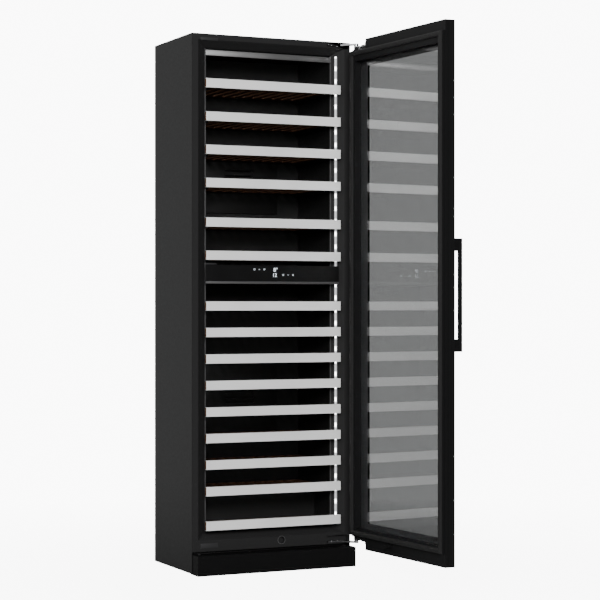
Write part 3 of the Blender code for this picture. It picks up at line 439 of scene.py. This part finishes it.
FINISHES = {
    "casing": finish("satin_black_enamel", "sprayed", (0.0122, 0.0123, 0.0124), (0.0108, 0.0109, 0.0110),
                     spacing=1400.0, gloss=(0.50, 0.56), bump=0.00003, specular=0.10),
    "plain_sheet": finish("dull_black_sheet", "sprayed", (0.012, 0.012, 0.012), (0.008, 0.008, 0.008),
                          spacing=700.0, gloss=(0.5, 0.62), bump=0.00003, specular=0.2),
    "front_frame": finish("black_moulding", "sprayed", (0.0190, 0.0190, 0.0192), (0.0165, 0.0165, 0.0166),
                          spacing=1100.0, gloss=(0.50, 0.60), bump=0.00004, specular=0.07),
    "liner": finish("black_liner", "sprayed", (0.0065, 0.0065, 0.0065), (0.0045, 0.0045, 0.0045),
                    spacing=900.0, gloss=(0.40, 0.55), bump=0.00005, specular=0.35),
    "control_glass": finish("touch_front", "wiped", (0.0060, 0.0060, 0.0061), (0.0048, 0.0048, 0.0049),
                            spacing=14.0, gloss=(0.34, 0.42), bump=0.00002, specular=0.12),
    "light_strip": lit_diffuser(),
    "machine": finish("machine_enamel", "sprayed", (0.015, 0.015, 0.015), (0.009, 0.009, 0.009),
                      spacing=300.0, gloss=(0.25, 0.4), bump=0.00006, coat=0.3),
    "moulded_black": finish("plain_moulding", "sprayed", (0.0075, 0.0075, 0.0076), (0.0058, 0.0058, 0.0059),
                            spacing=800.0, gloss=(0.5, 0.62), bump=0.00005, specular=0.08),
    "hinge_chrome": finish("hinge_chrome", "brushed", (0.30, 0.30, 0.305), (0.19, 0.19, 0.195),
                           spacing=1500.0, gloss=(0.14, 0.26), bump=0.000005, metallic=1.0),
    "door_frame": finish("coated_profile", "sprayed", (0.0082, 0.0083, 0.0085), (0.0066, 0.0067, 0.0069),
                         spacing=1600.0, gloss=(0.44, 0.54), bump=0.00002, specular=0.08),
    "door_glass": tinted_glass(),
    "seal": finish("soft_seal", "sprayed", (0.008, 0.008, 0.008), (0.005, 0.005, 0.005),
                   spacing=600.0, gloss=(0.6, 0.75), bump=0.00006, specular=0.3),
    "handle": finish("handle_coat", "sprayed", (0.0075, 0.0075, 0.0078), (0.0055, 0.0055, 0.0058),
                     spacing=1500.0, gloss=(0.38, 0.46), bump=0.00002, specular=0.10),
    "shelf_steel": finish("brushed_steel", "brushed", (0.97, 0.97, 0.965), (0.90, 0.90, 0.895),
                          spacing=1300.0, gloss=(0.44, 0.54), bump=0.00001, metallic=0.45),
    "shelf_wood": finish("stained_beech", "wood", (0.120, 0.058, 0.030), (0.055, 0.026, 0.014),
                         spacing=26.0, gloss=(0.5, 0.7), bump=0.00008, specular=0.2),
    "trim": finish("satin_aluminium", "brushed", (0.27, 0.27, 0.27), (0.21, 0.21, 0.21),
                   spacing=1200.0, gloss=(0.38, 0.48), bump=0.00001, metallic=0.85),
    "cover": finish("cover_plate", "sprayed", (0.030, 0.030, 0.031), (0.025, 0.025, 0.026),
                    spacing=1300.0, gloss=(0.42, 0.5), bump=0.00003, specular=0.10),
    "printed": finish("printed_border", "wiped", (0.020, 0.020, 0.021), (0.014, 0.014, 0.015),
                      spacing=30.0, gloss=(0.25, 0.32), bump=0.00001, specular=0.2),
    # Light grey for the inner pane's printed border: painted reflection in the glass.
    "inside_print_painted_reflection": finish("inside_print_painted_reflection", "wiped", (0.225, 0.225, 0.228), (0.185, 0.185, 0.188),
                             spacing=30.0, gloss=(0.4, 0.5), bump=0.00001, specular=0.2),
    # Darker black for the plinth: painted shade at the foot of the cabinet.
    "plinth_painted_shade": finish("plinth_painted_shade", "sprayed", (0.0050, 0.0050, 0.0051), (0.0038, 0.0038, 0.0039),
                           spacing=1400.0, gloss=(0.50, 0.58), bump=0.00003, specular=0.06),
    # Lighter grey for the line under the touch front and the keep collar, and as a painted highlight on the throat
    # strips.
    "bead_and_painted_highlight": finish("edge_bead_and_painted_highlight", "sprayed", (0.060, 0.060, 0.061), (0.050, 0.050, 0.051),
                   spacing=1200.0, gloss=(0.35, 0.45), bump=0.00001, specular=0.3),
    "symbol": glowing("lit_symbol", (0.85, 0.92, 1.0), 1.3),
}


# ---- piece tools --------------------------------------------------------------------
def deselect():
    if bpy.context.mode != "OBJECT":
        bpy.ops.object.mode_set(mode="OBJECT")
    bpy.ops.object.select_all(action="DESELECT")


def pick(piece):
    deselect()
    piece.select_set(True)
    bpy.context.view_layer.objects.active = piece
    return piece


def settle(piece):
    """Puts the piece's place, turn and scale in its mesh."""
    pick(piece)
    bpy.ops.object.transform_apply(location=True, rotation=True, scale=True)
    return piece


def smooth(piece):
    pick(piece)
    bpy.ops.object.shade_smooth_by_angle(angle=math.radians(SMOOTH_ANGLE))
    return piece


def dressed(piece, look, body):
    """Gives a finished piece its material and its body."""
    piece.data.materials.clear()
    piece.data.materials.append(FINISHES[look])
    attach(piece, body)
    return piece


def round_edges(piece, width):
    """Bevels a piece's corners with a modifier and applies it."""
    pick(piece)
    bevel = piece.modifiers.new("rounded", "BEVEL")
    bevel.width = width
    bevel.segments = 2
    bevel.limit_method = "ANGLE"
    bevel.angle_limit = math.radians(CORNER_ANGLE)
    bevel.use_clamp_overlap = True
    bpy.ops.object.modifier_apply(modifier=bevel.name)
    smooth(piece)
    flat = piece.modifiers.new("flat_faces", "WEIGHTED_NORMAL")
    flat.weight = FACE_WEIGHT
    flat.keep_sharp = True
    bpy.ops.object.modifier_apply(modifier=flat.name)
    return piece


def block(name, low, high, edge):
    """A block between two corners, its edges bevelled in edit mode."""
    deselect()
    low, high = Vector(low), Vector(high)
    bpy.ops.mesh.primitive_cube_add(size=1.0, location=(low + high) / 2)
    piece = bpy.context.active_object
    piece.name = name
    piece.scale = high - low
    settle(piece)
    bpy.ops.object.mode_set(mode="EDIT")
    bpy.ops.mesh.select_all(action="SELECT")
    bpy.ops.mesh.bevel(offset=edge, segments=2, affect="EDGES")
    bpy.ops.object.mode_set(mode="OBJECT")
    return smooth(piece)


def thicken_ring(front, back):
    """In edit mode, takes out the inset middle and gives the ring left over its depth along Y."""
    bpy.ops.mesh.delete(type="FACE")
    bpy.ops.mesh.select_all(action="SELECT")
    bpy.ops.mesh.extrude_region_move(TRANSFORM_OT_translate={"value": (0.0, back - front, 0.0)})
    bpy.ops.mesh.select_all(action="SELECT")
    bpy.ops.mesh.normals_make_consistent(inside=False)
    bpy.ops.object.mode_set(mode="OBJECT")


def border(name, outer, inner, front, back):
    """A flat rectangular ring, from a plane whose inset middle is stretched and taken out.

    Both rectangles are (left, right, low, high).
    """
    deselect()
    middle = Vector(((outer[0] + outer[1]) / 2, front, (outer[2] + outer[3]) / 2))
    bpy.ops.mesh.primitive_plane_add(size=1.0, location=middle, rotation=TURN_FRONT)
    piece = bpy.context.active_object
    piece.name = name
    width, height = outer[1] - outer[0], outer[3] - outer[2]
    piece.scale = (width, height, 1.0)
    settle(piece)
    bpy.ops.object.mode_set(mode="EDIT")
    bpy.ops.mesh.select_all(action="SELECT")
    start = min(width, height) / 10
    bpy.ops.mesh.inset(thickness=start)
    stretch = ((inner[1] - inner[0]) / (width - 2 * start), 1.0, (inner[3] - inner[2]) / (height - 2 * start))
    bpy.ops.transform.resize(value=stretch, center_override=middle)
    shift = Vector(((inner[0] + inner[1]) / 2, front, (inner[2] + inner[3]) / 2)) - middle
    bpy.ops.transform.translate(value=shift)
    thicken_ring(front, back)
    return piece


def select_faces(piece, wanted):
    """Selects, in edit mode, the faces that a test picks."""
    bpy.ops.object.mode_set(mode="EDIT")
    bpy.ops.mesh.select_all(action="DESELECT")
    bpy.ops.object.mode_set(mode="OBJECT")
    for face in piece.data.polygons:
        face.select = wanted(face)
    bpy.ops.object.mode_set(mode="EDIT")
    bpy.ops.mesh.select_mode(type="FACE")


def screw(name, centre, turn, radius=0.0035):
    """A pan-head screw with a socket, its head facing along the turned Z axis."""
    deselect()
    height = radius * HEAD_HEIGHT
    bpy.ops.mesh.primitive_cylinder_add(vertices=SCREW_SIDES, radius=radius, depth=height)
    piece = bpy.context.active_object
    piece.name = name
    select_faces(piece, lambda face: face.normal.z > 0.9)
    bpy.ops.mesh.bevel(offset=radius * HEAD_ROUND, segments=3, affect="EDGES")
    bpy.ops.object.mode_set(mode="OBJECT")
    select_faces(piece, lambda face: face.normal.z > 0.99)
    bpy.ops.mesh.inset(thickness=radius * SOCKET_INSET)
    bpy.ops.mesh.extrude_region_move(TRANSFORM_OT_translate={"value": (0.0, 0.0, -height * SOCKET_DEPTH)})
    bpy.ops.object.mode_set(mode="OBJECT")
    smooth(piece)
    piece.rotation_euler = turn
    piece.location = centre
    return settle(piece)


def washer(name, centre, outer, inner, front, back):
    """A turned ring about the Y axis with rounded lips, from a circle inset, opened and extruded."""
    deselect()
    bpy.ops.mesh.primitive_circle_add(vertices=RING_SIDES, radius=outer, fill_type="NGON",
                                      location=(centre[0], front, centre[1]), rotation=TURN_FRONT)
    piece = bpy.context.active_object
    piece.name = name
    settle(piece)
    bpy.ops.object.mode_set(mode="EDIT")
    bpy.ops.mesh.select_all(action="SELECT")
    bpy.ops.mesh.inset(thickness=outer - inner)
    thicken_ring(front, back)
    return round_edges(piece, min(abs(back - front), outer - inner) * LIP_SHARE)


def open_door(piece):
    """Swings a piece that was modelled with the door shut to where the open door holds it."""
    turned = Vector((PIVOT.x * math.cos(DOOR_OPEN) - PIVOT.y * math.sin(DOOR_OPEN),
                     PIVOT.x * math.sin(DOOR_OPEN) + PIVOT.y * math.cos(DOOR_OPEN), PIVOT.z))
    piece.location = PIVOT - turned
    piece.rotation_euler = (0.0, 0.0, DOOR_OPEN)
    return settle(piece)


# ---- the frame's own nodes ----------------------------------------------------------
def rounded_copy(node, width):
    """A piece that stands for a node: the same shape, merged, with its edges rounded."""
    deselect()
    piece = NODES[node].copy()
    piece.data = NODES[node].data.copy()
    piece.name = node + "_rounded"
    for key in list(piece.keys()):
        del piece[key]
    piece.parent = None
    bpy.context.scene.collection.objects.link(piece)
    pick(piece)
    bpy.ops.object.mode_set(mode="EDIT")
    bpy.ops.mesh.select_all(action="SELECT")
    bpy.ops.mesh.remove_doubles(threshold=SAME_POINT)
    bpy.ops.mesh.customdata_custom_splitnormals_clear()
    bpy.ops.mesh.mark_sharp(clear=True)
    bpy.ops.mesh.dissolve_limited(angle_limit=math.radians(FLAT_ANGLE))
    bpy.ops.object.mode_set(mode="OBJECT")
    round_edges(piece, width)
    dressed(piece, LOOKS.get(node, SLOT[node]), NODE_BODY[node])
    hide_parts(node)


def finish_nodes():
    """Paints every node, and puts a rounded copy in place of those whose edges are seen."""
    for node, obj in NODES.items():
        obj.data.materials.clear()
        obj.data.materials.append(FINISHES[LOOKS.get(node, SLOT[node])])
    for node, width in ROUNDED.items():
        rounded_copy(node, width)
    for number in SHELVES:
        rounded_copy(f"shelf_front_{number:02d}", SHELF_FRONT_EDGE)
        rounded_copy(f"shelf_tray_{number:02d}", SHELF_TRAY_EDGE)


# ---- cabinet details ----------------------------------------------------------------
def make_trims():
    """The bar above the top shelf, the line under the touch front and the plate above it."""
    bar = block("top_trim_bar", (ROOF_LOW.x, TRIM_FRONT, ROOF_LOW.z - TRIM_FOOT),
                (ROOF_HIGH.x, TRIM_BACK, ROOF_LOW.z - TRIM_HEAD), TRIM_EDGE)
    dressed(bar, "trim", "cabinet")
    line = block("panel_trim", (PANEL_LOW.x, PANEL_LOW.y + PANEL_LINE_RECESS, PANEL_LOW.z - PANEL_LINE_FOOT),
                 (PANEL_HIGH.x, PANEL_HIGH.y, PANEL_LOW.z - PANEL_LINE_HEAD), SMALL_TRIM_EDGE)
    dressed(line, "bead_and_painted_highlight", "cabinet")
    plate = block("sensor_plate", (SENSOR_LEFT, PANEL_LOW.y + SENSOR_RECESS, PANEL_HIGH.z + SENSOR_FOOT),
                  (SENSOR_RIGHT, PANEL_HIGH.y, PANEL_HIGH.z + SENSOR_HEAD), SMALL_TRIM_EDGE)
    dressed(plate, "cover", "cabinet")


def make_cover_plates():
    """Snap-in plates over the unused hinge pockets on the left."""
    for name, low, high in COVER_SPANS:
        plate = block("hinge_cover_" + name, (COVER_LEFT, -COVER_STAND, low), (COVER_RIGHT, 0.0, high),
                      FINE_EDGE)
        dressed(plate, "cover", "cabinet")


def make_figures(name, words, left, low, height):
    """Lit figures, made a thin mesh in front of the touch panel."""
    deselect()
    bpy.ops.object.text_add(rotation=TURN_FRONT)
    piece = bpy.context.active_object
    piece.data.body = words
    piece.data.size = height / FIGURE_SHARE
    piece.data.extrude = FIGURE_THICK
    pick(piece)
    bpy.ops.object.convert(target="MESH")
    piece = bpy.context.active_object
    piece.name = name
    piece.location = (left, PANEL_LOW.y - FIGURE_STAND, low)
    dressed(settle(piece), "symbol", "cabinet")


def square_about(x, z, half):
    return (x - half, x + half, z - half, z + half)


def make_display():
    """Two temperatures in the middle, and a ring, a dash and a square as touch symbols on both sides."""
    for figure in FIGURES:
        make_figures(*figure)
    front = PANEL_LOW.y - MARK_FRONT
    back = PANEL_LOW.y - MARK_BACK
    for number, (x, z) in enumerate(SYMBOL_PLACES):
        name = f"touch_mark_{number}"
        if number % 3 == 0:
            mark = washer(name, (x, z), RING_OUTER, RING_INNER, front, back)
        elif number % 3 == 1:
            mark = block(name, (x - DASH_HALF, front, z - DASH_THICK), (x + DASH_HALF, back, z + DASH_THICK),
                         DASH_EDGE)
        else:
            outer, inner = square_about(x, z, SQUARE_OUTER), square_about(x, z, SQUARE_INNER)
            mark = border(name, outer, inner, front, back)
        dressed(mark, "symbol", "cabinet")


def make_back_screws():
    """Screws down both sides of the back sheet and at its middle, top and bottom."""
    count = 0
    last = BACK_SCREW_ROWS - 1
    spacing = BACK_HIGH.z - BACK_LOW.z - 2 * BACK_SCREW_END
    for x in (BACK_LOW.x + BACK_SCREW_SIDE, 0.0, BACK_HIGH.x - BACK_SCREW_SIDE):
        for step in range(BACK_SCREW_ROWS):
            if x == 0.0 and 0 < step < last:
                continue
            count += 1
            z = BACK_LOW.z + BACK_SCREW_END + step * spacing / last
            head = screw(f"back_screw_{count}", (x, BACK_HIGH.y + BACK_SCREW_STAND, z), TURN_BACK)
            dressed(head, "hinge_chrome", "cabinet")


def make_fixings():
    """Screws in the back sheet, in the hinge pockets and on the plinth."""
    make_back_screws()
    levels = (("top", UPPER_ARM_TOP - ARM_SCREW_SUNK, TURN_DOWN),
              ("bottom", LOWER_ARM_FOOT + ARM_SCREW_SUNK, TURN_UP))
    for name, level, turn in levels:
        for side, x in enumerate(ARM_SCREW_PLACES):
            head = screw(f"arm_screw_{name}_{side}", (x, ARM_SCREW_BACK, level), turn, ARM_SCREW_RADIUS)
            dressed(head, "hinge_chrome", "cabinet")
    for number, side in enumerate((-1, 1)):
        place = (side * PLINTH_SCREW_SIDE, PLINTH_SCREW_FRONT, PLINTH_TOP + PLINTH_SCREW_STAND)
        head = screw(f"plinth_screw_{number}", place, TURN_UP, PLINTH_SCREW_RADIUS)
        dressed(head, "cover", "cabinet")


def make_air_covers():
    """Raised, slotted duct covers on the back wall of each zone."""
    for name, low, high in AIR_SPANS:
        cover = block(f"air_cover_{name}", (-AIR_HALF, WALL_FRONT - AIR_THICK, low),
                      (AIR_HALF, WALL_FRONT, high), AIR_EDGE)
        for row in range(AIR_SLOTS):
            z = (low + high) / 2 + (row - (AIR_SLOTS - 1) / 2) * SLOT_PITCH
            bar = block("slot_cutter", (-SLOT_HALF_WIDTH, WALL_FRONT - CUTTER_FRONT, z - SLOT_HALF_HEIGHT),
                        (SLOT_HALF_WIDTH, WALL_FRONT + CUTTER_BACK, z + SLOT_HALF_HEIGHT), SLOT_EDGE)
            pick(cover)
            cut = cover.modifiers.new("slot", "BOOLEAN")
            cut.object = bar
            bpy.ops.object.modifier_apply(modifier=cut.name)
            bpy.data.objects.remove(bar, do_unlink=True)
        dressed(smooth(cover), "liner", "cabinet")


def make_lock_keep():
    """Collar round the keep that the lock's cam turns in, and a bezel round the key barrel."""
    place = (LOCK_ACROSS, LOCK_LEVEL)
    ring = washer("keep_collar", place, KEEP_OUTER, KEEP_INNER, -KEEP_STAND, 0.0)
    dressed(ring, "bead_and_painted_highlight", "cabinet")
    bezel = washer("lock_bezel", place, BEZEL_OUTER, BEZEL_INNER, BEZEL_FRONT, BEZEL_BACK)
    dressed(open_door(bezel), "hinge_chrome", "door")


def make_hinge_plates():
    """Thin metal edges of the mounting plates round the hinge pockets."""
    for name, low, high in POCKET_EDGES:
        strip = block("pocket_edge_" + name, (POCKET_LEFT, -POCKET_STAND, low), (POCKET_RIGHT, 0.0, high),
                      POCKET_BEVEL)
        dressed(strip, "hinge_chrome", "cabinet")


def make_baffle():
    """The black sheet behind the frame's foot that closes the machine space to the front."""
    low = (FACE_LOW.x + BAFFLE_INSET, FACE_LOW.y + BAFFLE_FRONT, BAFFLE_FOOT)
    high = (FACE_HIGH.x - BAFFLE_INSET, FACE_LOW.y + BAFFLE_BACK, FACE_LOW.z + BAFFLE_HEAD)
    dressed(block("machine_baffle", low, high, SHEET_EDGE), "plain_sheet", "cabinet")


def make_throat_highlights():
    """Thin lighter grey strips down both sides of the opening: a painted highlight where the throat edge catches
    light.
    """
    for side, name in ((-1, "left"), (1, "right")):
        near, far = sorted((side * (THROAT_EDGE - HIGHLIGHT_STRIP_IN), side * (THROAT_EDGE + HIGHLIGHT_STRIP_OUT)))
        bead_and_painted_highlight = block("throat_highlight_strip_" + name, (near, HIGHLIGHT_STRIP_FRONT, FACE_LOW.z + HIGHLIGHT_STRIP_FOOT),
                     (far, HIGHLIGHT_STRIP_BACK, ROOF_LOW.z - HIGHLIGHT_STRIP_HEAD), FINE_EDGE)
        dressed(bead_and_painted_highlight, "bead_and_painted_highlight", "cabinet")


# ---- door details -------------------------------------------------------------------
def make_door_pieces():
    """Spacer between the panes, printed borders, and fixings along the door's inner face."""
    low, high = GLASS_LOW.z, GLASS_HIGH.z
    outer = (-GLASS_HALF, GLASS_HALF, low, high)
    inner = (-GLASS_HALF + SPACER_WIDTH, GLASS_HALF - SPACER_WIDTH, low + SPACER_WIDTH, high - SPACER_WIDTH)
    spacer = border("glazing_spacer", outer, inner, SPACER_FRONT, SPACER_BACK)
    dressed(open_door(spacer), "printed", "door")
    clear = (-GLASS_HALF + PRINT_SIDE, GLASS_HALF - PRINT_SIDE, low + PRINT_LOW, high - PRINT_HIGH)
    for name, look, front, back in PRINTS:
        print_ring = border("printed_border_" + name, outer, clear, front, back)
        dressed(open_door(print_ring), look, "door")
    for step in range(DOOR_SCREWS):
        z = low + DOOR_SCREW_END + step * (high - low - 2 * DOOR_SCREW_END) / (DOOR_SCREWS - 1)
        place = (DOOR_SCREW_SIDE, DOOR_SCREW_FRONT, z)
        head = screw(f"door_screw_{step + 1}", place, TURN_BACK, DOOR_SCREW_RADIUS)
        dressed(open_door(head), "hinge_chrome", "door")


def make_hinge_links():
    """Short links on each bracket, and the screws that hold it."""
    for name, plate, up in (("top", UPPER_BRACKET_FOOT + BRACKET_THICK, 1),
                            ("bottom", LOWER_BRACKET_TOP - BRACKET_THICK, -1)):
        turn = TURN_UP if up == 1 else TURN_DOWN
        for number, x in enumerate(BRACKET_SCREW_PLACES):
            place = (x, BRACKET_SCREW_FRONT, plate + up * BRACKET_SCREW_STAND)
            head = screw(f"bracket_screw_{name}_{number}", place, turn, BRACKET_SCREW_RADIUS)
            dressed(open_door(head), "hinge_chrome", "door")
        for number, (left, right, front, back, height) in enumerate(LINKS):
            low, high = sorted((plate + up * LINK_GAP, plate + up * height))
            link = block(f"hinge_link_{name}_{number}", (left, front, low), (right, back, high), LINK_EDGE)
            dressed(open_door(link), "hinge_chrome", "door")


# ---- stage, light and camera --------------------------------------------------------
def make_stage():
    """A pale round floor that thins out towards its rim."""
    deselect()
    bpy.ops.mesh.primitive_circle_add(vertices=96, radius=FLOOR_RADIUS, fill_type="NGON",
                                      location=(0.0, 0.0, -FLOOR_DROP))
    floor = bpy.context.active_object
    floor.name = "floor"
    material = bpy.data.materials.new("pale_floor")
    material.use_nodes = True
    tree = material.node_tree
    shader = tree.nodes["Principled BSDF"]
    shader.inputs["Base Color"].default_value = FLOOR_GREY
    shader.inputs["Roughness"].default_value = 0.7
    shader.inputs["Specular IOR Level"].default_value = 0.05
    place = tree.nodes.new("ShaderNodeTexCoord")
    length = tree.nodes.new("ShaderNodeVectorMath")
    length.operation = "LENGTH"
    tree.links.new(place.outputs["Object"], length.inputs[0])
    cover = remapped(tree, length.outputs["Value"], 1.0, 0.0, FLOOR_SOLID, FLOOR_RADIUS)
    tree.links.new(cover, shader.inputs["Alpha"])
    shader.inputs["Emission Color"].default_value = WHITE
    seen = tree.nodes.new("ShaderNodeLightPath")
    glow = maths(tree, "MULTIPLY", seen.outputs["Is Camera Ray"], FLOOR_SEEN)
    tree.links.new(glow, shader.inputs["Emission Strength"])
    floor.data.materials.append(material)


def area_light(name, place, size, power):
    """A soft box that points at the middle of the cabinet."""
    deselect()
    bpy.ops.object.light_add(type="AREA", location=place)
    light = bpy.context.active_object
    light.name = name
    light.data.shape = "RECTANGLE"
    light.data.size, light.data.size_y = size
    light.data.energy = power
    aim = Vector(LIGHT_AIM) - Vector(place)
    light.rotation_euler = aim.to_track_quat("-Z", "Y").to_euler()


def make_room():
    """A bright wall behind and a dim room in front. The camera sees the wall whiter than reflections do."""
    world = bpy.context.scene.world or bpy.data.worlds.new("studio")
    bpy.context.scene.world = world
    world.use_nodes = True
    tree = world.node_tree
    room = tree.nodes["Background"]
    room.inputs["Color"].default_value = WHITE
    place = tree.nodes.new("ShaderNodeTexCoord")
    split = tree.nodes.new("ShaderNodeSeparateXYZ")
    tree.links.new(place.outputs["Generated"], split.inputs["Vector"])
    strength = remapped(tree, split.outputs["Y"], ROOM_FRONT, ROOM_BACK, ROOM_FROM, ROOM_TO)
    tree.links.new(strength, room.inputs["Strength"])
    wall = tree.nodes.new("ShaderNodeBackground")
    wall.inputs["Color"].default_value = WHITE
    wall.inputs["Strength"].default_value = WALL_SEEN
    path = tree.nodes.new("ShaderNodeLightPath")
    mix = tree.nodes.new("ShaderNodeMixShader")
    tree.links.new(path.outputs["Is Camera Ray"], mix.inputs["Fac"])
    tree.links.new(room.outputs["Background"], mix.inputs[1])
    tree.links.new(wall.outputs["Background"], mix.inputs[2])
    tree.links.new(mix.outputs["Shader"], tree.nodes["World Output"].inputs["Surface"])


def make_light():
    """The room, a large soft box by the camera and a weak one on the left."""
    make_room()
    area_light("front_box", place=(-2.3, -5.8, 2.5), size=(2.4, 1.6), power=480.0)
    area_light("left_box", place=(-4.2, -1.8, 2.6), size=(2.0, 2.6), power=50.0)


def make_camera():
    deselect()
    turn = (math.radians(90), 0.0, math.radians(-CAMERA_HEADING))
    bpy.ops.object.camera_add(location=CAMERA_PLACE, rotation=turn)
    camera = bpy.context.active_object
    camera.data.lens = CAMERA_LENS
    camera.data.sensor_width = SENSOR_WIDTH
    camera.data.shift_y = CAMERA_SHIFT
    bpy.context.scene.camera = camera


finish_nodes()
make_trims()
make_cover_plates()
make_display()
make_fixings()
make_air_covers()
make_lock_keep()
make_hinge_plates()
make_door_pieces()
make_hinge_links()
make_baffle()
make_throat_highlights()
make_stage()
make_light()
make_camera()
